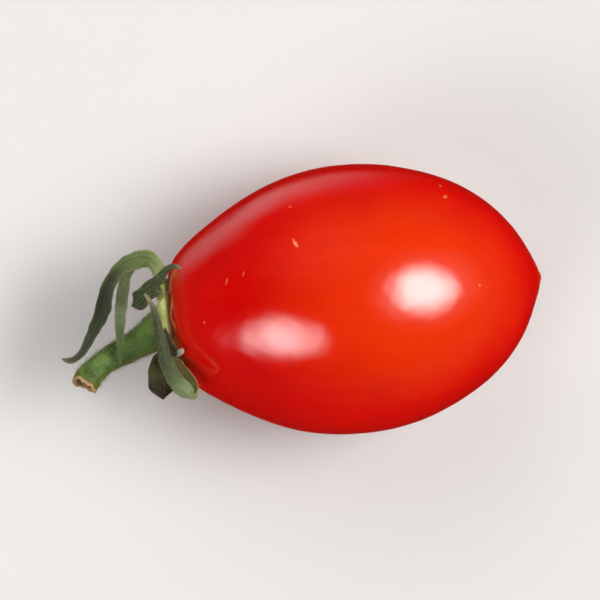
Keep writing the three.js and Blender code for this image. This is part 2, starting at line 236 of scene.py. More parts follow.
def spline(knots, values, at):
    """Natural cubic spline through the values."""
    n = len(knots)
    h = np.diff(knots)
    a, b = np.eye(n), np.zeros((n, values.shape[1]))
    for i in range(1, n - 1):
        a[i, i - 1 : i + 2] = h[i - 1], 2 * (h[i - 1] + h[i]), h[i]
        b[i] = 6 * (
            (values[i + 1] - values[i]) / h[i]
            - (values[i] - values[i - 1]) / h[i - 1]
        )
    m = np.linalg.solve(a, b)
    i = np.clip(np.searchsorted(knots, at, side="right") - 1, 0, n - 2)
    d, r = (knots[i + 1] - at)[:, None], (at - knots[i])[:, None]
    w = h[i][:, None]
    return (
        (m[i] * d**3 + m[i + 1] * r**3) / (6 * w)
        + (values[i] / w - m[i] * w / 6) * d
        + (values[i + 1] / w - m[i + 1] * w / 6) * r
    )


def follow(stations, count, square_to=None):
    """Even steps along the stations: centre, tangent, up, side, sizes, part of the length and the length in mm."""
    st = np.array(stations, float)
    st[:, 3:6] = unit(st[:, 3:6])
    gaps = np.sqrt(np.linalg.norm(np.diff(st[:, :3], axis=0), axis=1))
    knots = np.concatenate([[0], np.cumsum(gaps)])
    fine = np.linspace(0, knots[-1], 4000)
    path = spline(knots, st[:, :3], fine)
    run = np.concatenate(
        [[0], np.cumsum(np.linalg.norm(np.diff(path, axis=0), axis=1))]
    )
    at = np.interp(np.linspace(0, run[-1], count), run, fine)
    centre = spline(knots, st[:, :3], at)
    step = knots[-1] * 1e-4
    tangent = unit(
        spline(knots, st[:, :3], at + step) - spline(knots, st[:, :3], at - step)
    )
    along = np.linspace(0, 1, count)
    if square_to is not None:
        keep = smoothstep(along, 0, 0.25)[:, None]
        tangent = unit(tangent * keep + np.array(square_to, float) * (1 - keep))
    up = spline(knots, st[:, 3:6], at)
    up = unit(up - tangent * (up * tangent).sum(1, keepdims=True))
    side = np.cross(up, tangent)
    return centre, tangent, up, side, spline(knots, st[:, 6:], at), along, run[-1]


def loft(name, points, attributes=None, poles=(False, False)):
    """A closed mesh from rings of points in mm. A pole is an end whose ring is one point; another end gets a flat cap."""
    rings, around, _ = points.shape
    first, last = int(poles[0]), rings - int(poles[1])
    co = [points[first:last].reshape(-1, 3)]
    count = (last - first) * around
    index = np.arange(count).reshape(last - first, around)
    nxt = np.roll(index, -1, axis=1)
    quads = np.stack([index[:-1], nxt[:-1], nxt[1:], index[1:]], -1).reshape(-1, 4)
    faces = quads.tolist()
    keep = [np.arange(first * around, last * around)]
    for which, ring, turn in ((0, index[0], nxt[0]), (1, index[-1], nxt[-1])):
        row = 0 if which == 0 else rings - 1
        co.append(points[row].mean(0, keepdims=True))
        keep.append(np.array([row * around]))
        middle = count + which
        for a, b in zip(ring.tolist(), turn.tolist()):
            faces.append([middle, b, a] if which == 0 else [middle, a, b])
    co, keep = np.concatenate(co), np.concatenate(keep)
    tris = np.array(
        [f[:3] for f in faces] + [[f[0], f[2], f[3]] for f in faces if len(f) == 4]
    )
    a, b, c = co[tris[:, 0]], co[tris[:, 1]], co[tris[:, 2]]
    if (np.cross(b, c) * a).sum() < 0:
        faces = [f[::-1] for f in faces]
        tris = tris[:, ::-1]
    mesh = bpy.data.meshes.new(name)
    mesh.from_pydata((co * MM).tolist(), [], faces)
    mesh.polygons.foreach_set("use_smooth", np.ones(len(faces), bool))
    for key, value in (attributes or {}).items():
        layer = mesh.attributes.new(key, "FLOAT", "POINT")
        value = np.broadcast_to(value, (rings, around)).reshape(-1)
        layer.data.foreach_set("value", value[keep].astype(np.float32))
    mesh.update()
    obj = bpy.data.objects.new(name, mesh)
    bpy.context.scene.collection.objects.link(obj)
    return obj, co, tris


def srgb(r, g, b):
    """A colour as seen on a screen, 0 to 255, as linear red, green, blue and alpha."""
    out = []
    for v in (r, g, b):
        v /= 255
        out.append(v / 12.92 if v <= 0.04045 else ((v + 0.055) / 1.055) ** 2.4)
    return (*out, 1.0)


class Graph:
    """A node material, with short names for the nodes used here."""

    def __init__(self, name):
        self.material = bpy.data.materials.new(name)
        self.material.use_nodes = True
        self.tree = self.material.node_tree
        self.shader = self.tree.nodes["Principled BSDF"]
        self.place = None

    def put(self, socket, value):
        if isinstance(value, bpy.types.NodeSocket):
            self.tree.links.new(value, socket)
        else:
            socket.default_value = value

    def node(self, kind, inputs, **props):
        n = self.tree.nodes.new(kind)
        for key, value in props.items():
            setattr(n, key, value)
        for key, value in inputs.items():
            self.put(n.inputs[key], value)
        return n

    def mm(self):
        """Places on the piece, in mm."""
        if self.place is None:
            where = self.tree.nodes.new("ShaderNodeTexCoord").outputs["Object"]
            scaled = self.node("ShaderNodeVectorMath", {0: where}, operation="SCALE")
            scaled.inputs["Scale"].default_value = 1000
            self.place = scaled.outputs[0]
        return self.place

    def xyz(self):
        n = self.node("ShaderNodeSeparateXYZ", {0: self.mm()})
        return n.outputs

    def math(self, operation, a, b=0.0, clamp=False):
        n = self.node("ShaderNodeMath", {0: a, 1: b}, operation=operation)
        n.use_clamp = clamp
        return n.outputs[0]

    def times_plus(self, value, by, plus):
        n = self.node("ShaderNodeMath", {0: value, 1: by, 2: plus}, operation="MULTIPLY_ADD")
        return n.outputs[0]

    def step(self, value, low, high, to_low=0.0, to_high=1.0):
        n = self.node(
            "ShaderNodeMapRange",
            {
                "Value": value,
                "From Min": low,
                "From Max": high,
                "To Min": to_low,
                "To Max": to_high,
            },
            interpolation_type="SMOOTHSTEP",
        )
        return n.outputs["Result"]

    def mix(self, factor, a, b, blend="MIX"):
        n = self.node("ShaderNodeMix", {}, data_type="RGBA", blend_type=blend)
        self.put(n.inputs[0], factor)
        self.put(n.inputs[6], a)
        self.put(n.inputs[7], b)
        return n.outputs[2]

    def noise(self, size, detail=2.0, rough=0.5, bend=0.0, at=None):
        """size is in mm."""
        n = self.node(
            "ShaderNodeTexNoise",
            {
                "Vector": at or self.mm(),
                "Scale": 1 / size,
                "Detail": detail,
                "Roughness": rough,
                "Distortion": bend,
            },
        )
        return n.outputs[0]

    def stretched(self, x, y, z):
        n = self.node("ShaderNodeVectorMath", {0: self.mm()}, operation="MULTIPLY")
        n.inputs[1].default_value = (x, y, z)
        return n.outputs[0]

    def attribute(self, name):
        n = self.tree.nodes.new("ShaderNodeAttribute")
        n.attribute_name = name
        return n.outputs["Fac"]

    def ramp(self, value, stops):
        n = self.tree.nodes.new("ShaderNodeValToRGB")
        n.color_ramp.interpolation = "EASE"
        while len(n.color_ramp.elements) < len(stops):
            n.color_ramp.elements.new(1.0)
        for element, (at, colour) in zip(n.color_ramp.elements, stops):
            element.position = at
            element.color = colour
        self.put(n.inputs[0], value)
        return n.outputs[0]

    def bump(self, height, distance, strength=1.0, under=None):
        """distance is in mm."""
        n = self.node(
            "ShaderNodeBump",
            {"Height": height, "Distance": distance * MM, "Strength": strength},
        )
        if under is not None:
            self.put(n.inputs["Normal"], under)
        return n.outputs[0]

    def finish(self, colour, roughness, normal=None, **constants):
        self.put(self.shader.inputs["Base Color"], colour)
        self.put(self.shader.inputs["Roughness"], roughness)
        if normal is not None:
            self.put(self.shader.inputs["Normal"], normal)
        for key, value in constants.items():
            self.shader.inputs[key.replace("_", " ")].default_value = value
        return self.material


# ----------------------------------------------------------------------- fruit


def even_outline(points):
    """The half outline with its small measuring wobbles evened out. Beyond both poles it goes on mirrored."""
    p = np.array(points, float)
    run = np.concatenate([[0], np.cumsum(np.hypot(*np.diff(p, axis=0).T))])
    gap = 0.02
    fine = np.arange(0, run[-1], gap)
    x, r = np.interp(fine, run, p[:, 0]), np.interp(fine, run, p[:, 1])
    far = int(5 / gap)

    def blurred(sigma):
        k = np.arange(-far, far + 1) * gap
        w = np.exp(-((k / sigma) ** 2) / 2)
        w /= w.sum()
        xe = np.concatenate([x[far:0:-1], x, x[-2 : -far - 2 : -1]])
        re = np.concatenate([-r[far:0:-1], r, -r[-2 : -far - 2 : -1]])
        return np.convolve(xe, w, "valid"), np.convolve(re, w, "valid")

    wide, narrow = blurred(1.5), blurred(0.38)
    tip = blurred(0.16)
    w = smoothstep(fine, 5.5, 10) * smoothstep(run[-1] - fine, 3.5, 8)
    e = smoothstep(run[-1] - fine, 2.2, 0.6)
    out = []
    for i in (0, 1):
        v = narrow[i] * (1 - w) + wide[i] * w
        out.append(v * (1 - e) + tip[i] * e)
    out[1] = np.maximum(out[1], 0)
    out[1][0] = out[1][-1] = 0
    return fine, out[0], out[1]


def make_fruit():
    run, x, r = even_outline(FRUIT_PROFILE)
    total = run[-1]
    at = np.concatenate(
        [np.linspace(0, total - 2.0, 228), np.linspace(total - 2.0, total, 46)[1:]]
    )
    x, r = np.interp(at, run, x), np.interp(at, run, r)
    turn = np.linspace(0, 2 * np.pi, 300, endpoint=False)[None, :]
    x, r, at = x[:, None], r[:, None], at[:, None]
    shoulder = np.exp(-(((x + 13) / 4.5) ** 2))
    radius = r * (1 + SHOULDER_LOBES * shoulder * np.cos(5 * turn + 0.7))
    y, z = radius * np.cos(turn), radius * np.sin(turn)
    x = x + 0 * turn
    # The blossom end: a low dry knob in a shallow ring.
    knob = np.exp(-((r / 0.3) ** 2)) * (x > 0)
    ring = np.exp(-(((r - 0.6) / 0.2) ** 2)) * (x > 0)
    x = x + 0.06 * knob - 0.025 * ring
    points = np.stack([x, y, z], -1)
    # The dimple runs out in faint folds between the lobes.
    fold = np.exp(-(((at - 3.6) / 1.5) ** 2)) * np.cos(5 * turn + 0.7 + 0.3 * np.sin(turn))
    points[..., 0] -= 0.03 * fold
    # The upper shoulder swells a little against the calyx.
    swell = np.exp(-(((y + 1.0) / 2.2) ** 2)) * np.exp(-(((r - 3.5) / 1.0) ** 2))
    points[..., 0] -= 0.24 * swell * (x < 0) * smoothstep(np.sin(turn), 0, 0.6)
    out = unit(points * np.array([0.5, 1, 1]))
    calm = smoothstep(r, 0.4, 3)
    bumps = 0.045 * Waves(3, 13)(points) + 0.012 * Waves(4, 4.2)(points)
    bumps += 0.003 * Waves(5, 1.5)(points)
    points = points + out * (bumps * calm)[..., None]
    points[..., 0] += 0.02 * Waves(6, 0.4)(points) * knob
    points[..., 2] = points[..., 2] * FRUIT_SQUASH + AXIS_Z
    # It rests on a flat spot with a soft edge.
    z = points[..., 2]
    points[..., 2] = (z + np.sqrt(z * z + 0.006)) / 2
    return loft(
        "tomato_skin",
        points,
        {"from_stem": at, "from_tip": total - at},
        poles=(True, True),
    )


# Small marks in the skin: x, y in mm, length, width, direction in degrees and
# how plain the mark is.
MARKS = [
    (-5.02, 5.87, 0.6, 0.2, 112, 0.7),
    (9.67, 8.61, 0.3, 0.2, 20, 0.5),
    (9.36, 9.77, 0.2, 0.14, 0, 0.3),
    (-10.24, 3.58, 0.36, 0.1, 70, 0.4),
    (-11.87, 3.1, 0.42, 0.11, 62, 0.4),
    (-5.1, 9.4, 0.22, 0.12, 10, 0.35),
]


def fruit_material():
    g = Graph("tomato_skin")
    stem, tip = g.attribute("from_stem"), g.attribute("from_tip")
    x, y, z = g.xyz()
    # Red, a little deeper or more orange from place to place.
    broad = g.noise(9, 3, 0.5)
    colour = g.ramp(
        broad,
        [
            (0.3, srgb(197, 1, 0)),
            (0.5, srgb(204, 2, 0)),
            (0.7, srgb(209, 5, 0)),
        ],
    )
    # Painted light: the upper side is painted a warmer, lighter red where the broad shine from above falls, most so in
    # the blossom half.
    top_light_height = g.math("ADD", z, g.math("MULTIPLY", g.math("SUBTRACT", broad, 0.5), 4.0))
    top_light_height = g.math("ADD", top_light_height, g.math("MULTIPLY", x, 0.22))
    painted_top_light = g.math(
        "MULTIPLY",
        g.step(top_light_height, AXIS_Z + 6.5, AXIS_Z + 12.8),
        g.step(g.math("ADD", x, g.math("MULTIPLY", y, -0.1)), -16, 5, 0.3, 1.0),
    )
    colour = g.mix(painted_top_light, colour, srgb(216, 46, 2))
    # Fine lengthwise streaks of the flesh under the skin.
    streak = g.noise(1.0, 3, 0.6, at=g.stretched(0.12, 0.8, 0.8))
    streaks = g.math("MULTIPLY", g.step(streak, 0.45, 0.75), g.times_plus(painted_top_light, 0.1, 0.04))
    colour = g.mix(streaks, colour, srgb(232, 60, 10))
    # Shoulder: an orange-red ring, partly the fruit's own colour and partly painted light bounced from the calyx; then
    # dark red and brown-red painted shade next to the calyx, and olive brown under the edge of the calyx base.
    edge = g.math("ADD", stem, g.times_plus(g.noise(1.6, 3, 0.6), 1.6, -0.8))
    colour = g.mix(g.step(edge, 9.0, 5.4, 0, 0.5), colour, srgb(204, 36, 4))
    colour = g.mix(g.step(edge, 5.6, 4.3, 0, 0.7), colour, srgb(148, 24, 6))
    colour = g.mix(g.step(edge, 4.3, 3.7, 0, 0.8), colour, srgb(112, 46, 12))
    colour = g.mix(g.step(edge, 3.5, 2.9, 0, 0.9), colour, srgb(112, 88, 30))
    # Blossom end: a pale halo round the small dry scar.
    halo = g.math("ADD", tip, g.math("MULTIPLY", g.noise(0.5, 2), 0.5))
    colour = g.mix(g.step(halo, 2.0, 0.7, 0, 0.35), colour, srgb(232, 92, 30))
    colour = g.mix(g.step(halo, 0.56, 0.4, 0, 0.8), colour, srgb(150, 88, 44))
    # Fine pale dots all over, in loose patches.
    dots = g.node(
        "ShaderNodeTexVoronoi",
        {"Vector": g.mm(), "Scale": 1 / 0.62, "Randomness": 1.0},
    )
    patch = g.step(g.noise(3.4, 2), 0.38, 0.64)
    size = g.times_plus(g.noise(0.9, 1), 0.16, 0.03)
    dot = g.math("SUBTRACT", size, dots.outputs["Distance"])
    dot = g.math("MULTIPLY", g.step(dot, -0.03, 0.05), patch)
    colour = g.mix(g.math("MULTIPLY", dot, 0.25), colour, srgb(240, 90, 40))
    # A few larger pale lenticels, far apart.
    rare = g.node(
        "ShaderNodeTexVoronoi",
        {"Vector": g.mm(), "Scale": 1 / 5.5, "Randomness": 1.0},
    )
    speck = g.step(rare.outputs["Distance"], 0.022, 0.012)
    colour = g.mix(g.math("MULTIPLY", speck, 0.7), colour, srgb(244, 170, 96))
    # Small dry marks on the upper side.
    bend = g.node("ShaderNodeVectorMath", {}, operation="SUBTRACT")
    bend.inputs[1].default_value = (0.5, 0.5, 0.5)
    soft = g.node(
        "ShaderNodeTexNoise", {"Vector": g.mm(), "Scale": 3.2, "Detail": 2.0}
    )
    g.put(bend.inputs[0], soft.outputs["Color"])
    shifted = g.node("ShaderNodeVectorMath", {}, operation="MULTIPLY_ADD")
    g.put(shifted.inputs[0], bend.outputs[0])
    shifted.inputs[1].default_value = (0.28, 0.28, 0.28)
    g.put(shifted.inputs[2], g.mm())
    upper = g.step(z, AXIS_Z, AXIS_Z + 1)
    for mx, my, length, width, turn, plain in MARKS:
        c, s = math.cos(math.radians(turn)), math.sin(math.radians(turn))
        off = g.node("ShaderNodeVectorMath", {0: shifted.outputs[0]}, operation="SUBTRACT")
        off.inputs[1].default_value = (mx, my, 0)
        one = g.node("ShaderNodeVectorMath", {0: off.outputs[0]}, operation="DOT_PRODUCT")
        one.inputs[1].default_value = (c / length, s / length, 0)
        two = g.node("ShaderNodeVectorMath", {0: off.outputs[0]}, operation="DOT_PRODUCT")
        two.inputs[1].default_value = (-s / width, c / width, 0)
        far = g.math(
            "SQRT",
            g.math(
                "ADD",
                g.math("POWER", one.outputs["Value"], 2.0),
                g.math("POWER", two.outputs["Value"], 2.0),
            ),
        )
        spot = g.math("MULTIPLY", g.step(far, 1.0, 0.4), upper)
        colour = g.mix(g.math("MULTIPLY", spot, plain), colour, srgb(246, 170, 104))
    # Pores and a very faint unevenness break up the shine.
    pores = g.node(
        "ShaderNodeTexVoronoi",
        {"Vector": g.mm(), "Scale": 1 / 0.42, "Randomness": 1.0},
    )
    pit = g.step(pores.outputs["Distance"], 0.0, 0.2)
    normal = g.bump(pit, 0.012, 0.35)
    normal = g.bump(g.noise(0.9, 3, 0.55), 0.02, 0.5, under=normal)
    rough = g.times_plus(g.noise(2.2, 3, 0.6), 0.08, 0.11)
    dry = g.step(halo, 0.7, 0.45, 0, 0.4)
    rough = g.math("ADD", rough, dry)
    return g.finish(
        colour,
        rough,
        normal,
        IOR=1.43,
        Coat_Weight=1.0,
        Coat_Roughness=0.08,
        Coat_IOR=1.45,
        Subsurface_Weight=0.15,
        Subsurface_Radius=(1.0, 0.1, 0.02),
        Subsurface_Scale=0.0018,
    )


# ------------------------------------------------------------------ calyx base


def lobe_at(turn, width):
    best = np.zeros_like(turn)
    for degrees in STAR_ANGLES:
        off = turn - math.radians(degrees)
        apart = np.arctan2(np.sin(off), np.cos(off))
        best = np.maximum(best, np.exp(-((apart / width) ** 2)))
    return best


def make_base():
    p = np.array(BASE_PROFILE, float)
    run = np.concatenate([[0], np.cumsum(np.hypot(*np.diff(p, axis=0).T))])
    at = np.linspace(0, run[-1], 90)
    smooth = spline(run, p, at)
    x, r = smooth[:, 0][:, None], np.maximum(smooth[:, 1], 0)[:, None]
    r[0] = r[-1] = 0
    turn = np.linspace(0, 2 * np.pi, 240, endpoint=False)[None, :]
    lobe = lobe_at(turn, 0.27)
    reach = 1 + 0.24 * (lobe - 0.38) * smoothstep(r, 1.9, 3.2)
    radius = r * reach
    outer = smoothstep(x, -18.3, -18.8)
    ridge = outer * smoothstep(r, 0.9, 2.3)
    x = x - ridge * (0.2 * lobe_at(turn, 0.2) - 0.14)
    points = np.stack([x, radius * np.cos(turn), radius * np.sin(turn)], -1)
    points += unit(points * [0.2, 1, 1]) * (
        0.035 * Waves(21, 1.1)(points) * smoothstep(r, 0.3, 1.5)
    )[..., None]
    points[..., 2] += AXIS_Z
    return loft(
        "calyx_base_disc",
        points,
        {"lobe": lobe + 0 * r, "radius": r + 0 * turn},
        poles=(True, True),
    )


def base_material():
    g = Graph("calyx_base_green")
    x, y, z = g.xyz()
    lobe = g.attribute("lobe")
    mottled = g.noise(0.7, 3, 0.6)
    # Partly painted light: the base's own pale yellow green is made paler still, standing in for the light that the
    # sepals above keep off it.
    colour = g.ramp(
        mottled,
        [
            (0.3, srgb(178, 188, 106)),
            (0.55, srgb(196, 204, 124)),
            (0.75, srgb(212, 216, 146)),
        ],
    )
    # Browner towards the near side, and greener between the points.
    lower = g.step(g.math("ADD", y, g.math("MULTIPLY", mottled, 0.8)), 1.4, -1.2)
    colour = g.mix(g.math("MULTIPLY", lower, 0.6), colour, srgb(140, 124, 60))
    between = g.step(lobe, 0.4, 0.05)
    colour = g.mix(g.math("MULTIPLY", between, 0.25), colour, srgb(136, 148, 74))
    # Brown where it meets the fruit.
    inner = g.step(g.math("ADD", x, g.math("MULTIPLY", mottled, 0.12)), -18.1, -17.86)
    colour = g.mix(g.math("MULTIPLY", inner, 0.85), colour, srgb(112, 70, 28))
    normal = g.bump(g.noise(0.25, 3, 0.6), 0.03, 0.6)
    return g.finish(
        colour,
        0.58,
        normal,
        Subsurface_Weight=0.15,
        Subsurface_Radius=(0.6, 1.0, 0.3),
        Subsurface_Scale=0.0006,
        Sheen_Weight=0.12,
        Sheen_Roughness=0.5,
    )


# --------------------------------------------------------------------- pedicel


def make_pedicel():
    count, around = 230, 128
    centre, tangent, up, side, size, along, length = follow(
        PEDICEL, count, square_to=(-1, 0, 0)
    )
    turn = np.linspace(0, 2 * np.pi, around, endpoint=False)[None, :]
    a = along[:, None]
    run = a * length
    # Five soft ribs that fade at the swollen end, and an uneven girth.
    ribs = 0.022 * np.cos(5 * turn + 0.5 + 0.5 * a) * smoothstep(a, 0.08, 0.3)
    girth = 0.018 * wobble(31, run, 2.6)
    swell = 0.05 * np.exp(-(((a - 0.93) / 0.06) ** 2))
    factor = 1 + ribs + girth + swell
    # The last part flares into a ragged dry lip.
    lip = smoothstep(a, 0.965, 1.0)
    factor = factor + lip * (0.03 + 0.05 * np.sin(3 * turn + 1) + 0.03 * np.sin(7 * turn))
    half_w, half_t = size[:, 0:1] / 2, size[:, 1:2] / 2
    offset = (
        side[:, None, :] * (np.cos(turn) * half_w * factor)[..., None]
        + up[:, None, :] * (np.sin(turn) * half_t * factor)[..., None]
    )
    points = centre[:, None, :] + offset
    points = points + unit(offset) * (
        0.03 * Waves(32, 0.9)(points) + 0.014 * Waves(33, 0.35)(points)
    )[..., None]
    torn = 0.13 * np.sin(2 * turn + 0.8) + 0.06 * np.sin(5 * turn) + 0.03 * np.sin(11 * turn)
    points = points + tangent[:, None, :] * (smoothstep(a, 0.9, 1.0) * torn)[..., None]
    # The cut face: an uneven lip, a ring of dry skin, then the sunken pith.
    end, way = points[-1], tangent[-1]
    middle = end.mean(0)
    rings, cut = [], []
    for part, depth in (
        (0.985, 0.05), (0.95, 0.085), (0.9, 0.08), (0.84, 0.02), (0.78, -0.08),
        (0.7, -0.17), (0.6, -0.22), (0.48, -0.2), (0.34, -0.17), (0.2, -0.19),
        (0.08, -0.22), (0.0, -0.23),
    ):
        ring = middle + (end - middle) * part + way * depth
        flat = middle + (ring - middle) - way * ((ring - middle) @ way)[:, None]
        blend = smoothstep(part, 0.35, 0.9)
        ring = ring * blend + (flat + way * depth) * (1 - blend)
        ring = ring + way * (0.035 * Waves(34, 0.35)(ring) * min(1, part * 3))[:, None]
        rings.append(ring)
        cut.append(1 + (1 - part))
    points = np.concatenate([points, np.stack(rings)])
    marks = np.concatenate([smoothstep(a[:, 0], 0.955, 0.995), cut])[:, None]
    reach = np.concatenate([along, np.ones(len(rings))])[:, None]
    return loft(
        "pedicel_stem",
        points,
        {"cut": marks + 0 * turn, "along": reach + 0 * turn, "turn": np.sin(turn) + 0 * reach},
        poles=(False, True),
    )


def pedicel_material():
    g = Graph("pedicel_green")
    cut, along = g.attribute("cut"), g.attribute("along")
    x, y, z = g.xyz()
    mottled = g.noise(1.9, 2, 0.5)
    colour = g.ramp(
        mottled,
        [
            (0.32, srgb(50, 76, 18)),
            (0.5, srgb(66, 94, 28)),
            (0.66, srgb(92, 120, 50)),
        ],
    )
    # Lengthwise pale fibres.
    fibre = g.noise(0.34, 3, 0.6, at=g.stretched(0.3, 0.42, 1.0))
    colour = g.mix(g.step(fibre, 0.5, 0.78, 0, 0.35), colour, srgb(112, 138, 72))
    colour = g.mix(g.step(fibre, 0.46, 0.28, 0, 0.25), colour, srgb(40, 60, 18))
    # Yellower along the side away from the arch, and near the lip.
    flank = g.math("ADD", y, g.math("MULTIPLY", x, -0.42))
    flank = g.step(flank, 6.4, 5.2)
    colour = g.mix(g.math("MULTIPLY", flank, 0.7), colour, srgb(74, 84, 8))
    near = g.step(along, 0.86, 0.97, 0, 0.3)
    colour = g.mix(near, colour, srgb(112, 118, 36))
    # Paler where it grows out of the calyx base.
    root = g.math("ADD", x, g.math("MULTIPLY", mottled, 0.3))
    colour = g.mix(g.step(root, -19.1, -18.6, 0, 0.85), colour, srgb(160, 172, 98))
    # Dry tan lip, then the darker sunken middle.
    speck = g.math("ADD", cut, g.math("MULTIPLY", g.noise(0.3, 3), 0.5))
    colour = g.mix(g.step(speck, 0.75, 1.1), colour, srgb(164, 132, 90))
    colour = g.mix(g.step(speck, 1.42, 1.66), colour, srgb(86, 62, 34))
    colour = g.mix(g.step(speck, 1.75, 2.05), colour, srgb(120, 110, 56))
    normal = g.bump(g.noise(0.16, 3, 0.6), 0.03, 0.6)
    normal = g.bump(fibre, 0.05, 0.5, under=normal)
    return g.finish(
        colour,
        0.5,
        normal,
        Specular_IOR_Level=0.35,
        Subsurface_Weight=0.12,
        Subsurface_Radius=(0.5, 1.0, 0.25),
        Subsurface_Scale=0.0006,
        Sheen_Weight=0.06,
        Sheen_Roughness=0.45,
        Sheen_Tint=srgb(204, 214, 170),
    )


# ---------------------------------------------------------------------- sepals


def rooted(stations, reach=1.8):
    """The stations with two more that lead into the calyx base."""
    first = stations[0]
    radial = np.array([0, first[1], first[2] - AXIS_Z])
    radius = np.linalg.norm(radial)
    radial = radial / radius
    start = []
    for back, x, width in ((reach, -18.52, 0.95), (reach * 0.5, -18.5, 1.05)):
        p = radial * (radius - back)
        start.append(
            [x, p[1], p[2] + AXIS_Z, -1, 0.1 * radial[1], 0.1 * radial[2],
             first[6] * width, first[7] * 1.05, 0.02]
        )
    return start + list(stations)


def make_sepal(
    name, stations, seed, flutter=0.07, ragged=0.05, narrow=1.0, gutter=1.0, count=250, around=72
):
    """narrow is a part of the stations' width, and gutter of their channel depth."""
    centre, tangent, up, side, size, along, length = follow(rooted(stations), count)
    turn = np.linspace(0, 2 * np.pi, around, endpoint=False)[None, :]
    across, through = np.cos(turn), np.sin(turn)
    a = along[:, None]
    run = a * length
    edge = np.abs(across)
    free = smoothstep(a, 0.08, 0.25)
    calm = free * smoothstep(a, 1.0, 0.9)
    tip = np.sqrt(np.clip(1 - (np.clip(a - 0.96, 0, 1) / 0.04) ** 2, 0, 1))
    uneven = np.where(
        across > 0, wobble(seed, run, 1.9), wobble(seed + 1, run, 1.9)
    )
    half = size[:, 0:1] / 2 * (1 + ragged * uneven * edge**2 * free) * tip
    half = half * (1 - (1 - narrow) * free)
    thick = size[:, 1:2] * (0.92 - 0.2 * free) * np.maximum(tip, 0.02)
    channel = size[:, 2:3] * (1 + 0.18 * wobble(seed + 2, run, 3.5) * free)
    channel = channel * (1 + (gutter - 1) * free)
    face, back = np.clip(through, 0, 1), np.clip(-through, 0, 1)
    lift = channel * half * (edge**2.1 - 0.38)
    lift = lift + through * thick / 2 * (1 - 0.55 * across**2)
    lift = lift - 0.1 * thick / 0.5 * face * np.exp(-((across / 0.15) ** 2)) * calm
    lift = lift - 0.14 * thick / 0.5 * back * np.exp(-((across / 0.18) ** 2)) * calm
    veins = np.cos(2 * np.pi * across * 2.4 + 0.5 * wobble(seed + 3, run, 4))
    lift = lift + 0.016 * (face - back) * veins * calm
    sides = np.where(
        across > 0, wobble(seed + 4, run, 2.3), wobble(seed + 5, run, 2.1)
    )
    lift = lift + flutter * sides * edge**2.5 * calm * np.minimum(1, size[:, 0:1] / 1.6)
    points = (
        centre[:, None, :]
        + side[:, None, :] * (across * half)[..., None]
        + up[:, None, :] * lift[..., None]
    )
    grain = 0.016 * Waves(seed + 6, 0.7)(points) + 0.009 * Waves(seed + 7, 0.3)(points)
    points = points + (up[:, None, :] * (np.sign(through) * np.abs(through) ** 0.5)[..., None]) * (
        grain * calm
    )[..., None]
    return loft(
        name,
        points,
        {
            "along": a + 0 * turn,
            "across": across + 0 * a,
            "face": through + 0 * a,
        },
        poles=(False, True),
    )


def sepal_material(name, face, back, edge, tip_at, tip_colour, dark=0.35, edge_pale=0.75):
    """face, back and edge are the colour stops along the sepal for its two sides and its rim. dark is how strongly
    shade is painted inside the channel.
    """
    g = Graph(name)
    along, across, side = (g.attribute(k) for k in ("along", "across", "face"))
    mottled = g.noise(0.75, 3, 0.6)
    jitter = g.math("ADD", along, g.math("MULTIPLY", g.math("SUBTRACT", mottled, 0.5), 0.06))
    colour = g.mix(
        g.step(side, -0.1, 0.1), g.ramp(jitter, back), g.ramp(jitter, face)
    )
    dusty = g.noise(0.28, 4, 0.7)
    colour = g.mix(g.step(dusty, 0.5, 0.78, 0, 0.28), colour, srgb(118, 128, 90))
    colour = g.mix(g.step(mottled, 0.5, 0.3, 0, 0.35), colour, srgb(42, 50, 26))
    # Veins along the blade, broken up a little.
    off = g.math("ABSOLUTE", across)
    vein = g.math("COSINE", g.math("MULTIPLY", across, 15.1))
    vein = g.math("MULTIPLY", g.step(vein, 0.45, 1.0), g.step(dusty, 0.35, 0.6))
    colour = g.mix(g.math("MULTIPLY", vein, 0.25), colour, srgb(120, 130, 86))
    # Painted shade: the inside of the channel is painted darker; the thin edges are paler.
    painted_channel_shade = g.math("MULTIPLY", g.step(off, 0.8, 0.25), g.step(side, 0.0, 0.4))
    painted_channel_shade = g.math("MULTIPLY", painted_channel_shade, g.step(along, 0.3, 0.45))
    colour = g.mix(g.math("MULTIPLY", painted_channel_shade, dark), colour, srgb(30, 36, 22))
    rim = g.math("ADD", off, g.math("MULTIPLY", g.math("SUBTRACT", dusty, 0.5), 0.2))
    colour = g.mix(g.step(rim, 0.84, 1.0, 0, edge_pale), colour, g.ramp(jitter, edge))
    # The tip is dry.
    dry = g.math("ADD", along, g.math("MULTIPLY", g.math("SUBTRACT", dusty, 0.5), 0.12))
    colour = g.mix(g.step(dry, tip_at, min(1.0, tip_at + 0.08), 0, 0.9), colour, tip_colour)
    normal = g.bump(g.noise(0.13, 3, 0.65), 0.03, 0.6)
    normal = g.bump(vein, 0.03, 0.4, under=normal)
    rough = g.step(mottled, 0.3, 0.7, 0.52, 0.68)
    return g.finish(
        colour,
        rough,
        normal,
        Specular_IOR_Level=0.3,
        Subsurface_Weight=0.06,
        Subsurface_Radius=(0.5, 1.0, 0.3),
        Subsurface_Scale=0.0004,
        Sheen_Weight=0.08,
        Sheen_Roughness=0.4,
        Sheen_Tint=srgb(206, 212, 186),
    )


GREY_GREEN = srgb(80, 92, 56)
DEEP_GREEN = srgb(54, 64, 38)
FRESH_GREEN = srgb(96, 116, 56)
YELLOW_GREEN = srgb(158, 174, 92)
OLIVE = srgb(72, 72, 30)
BROWN = srgb(56, 40, 20)

# ------------------------------------------------------------------------ hair


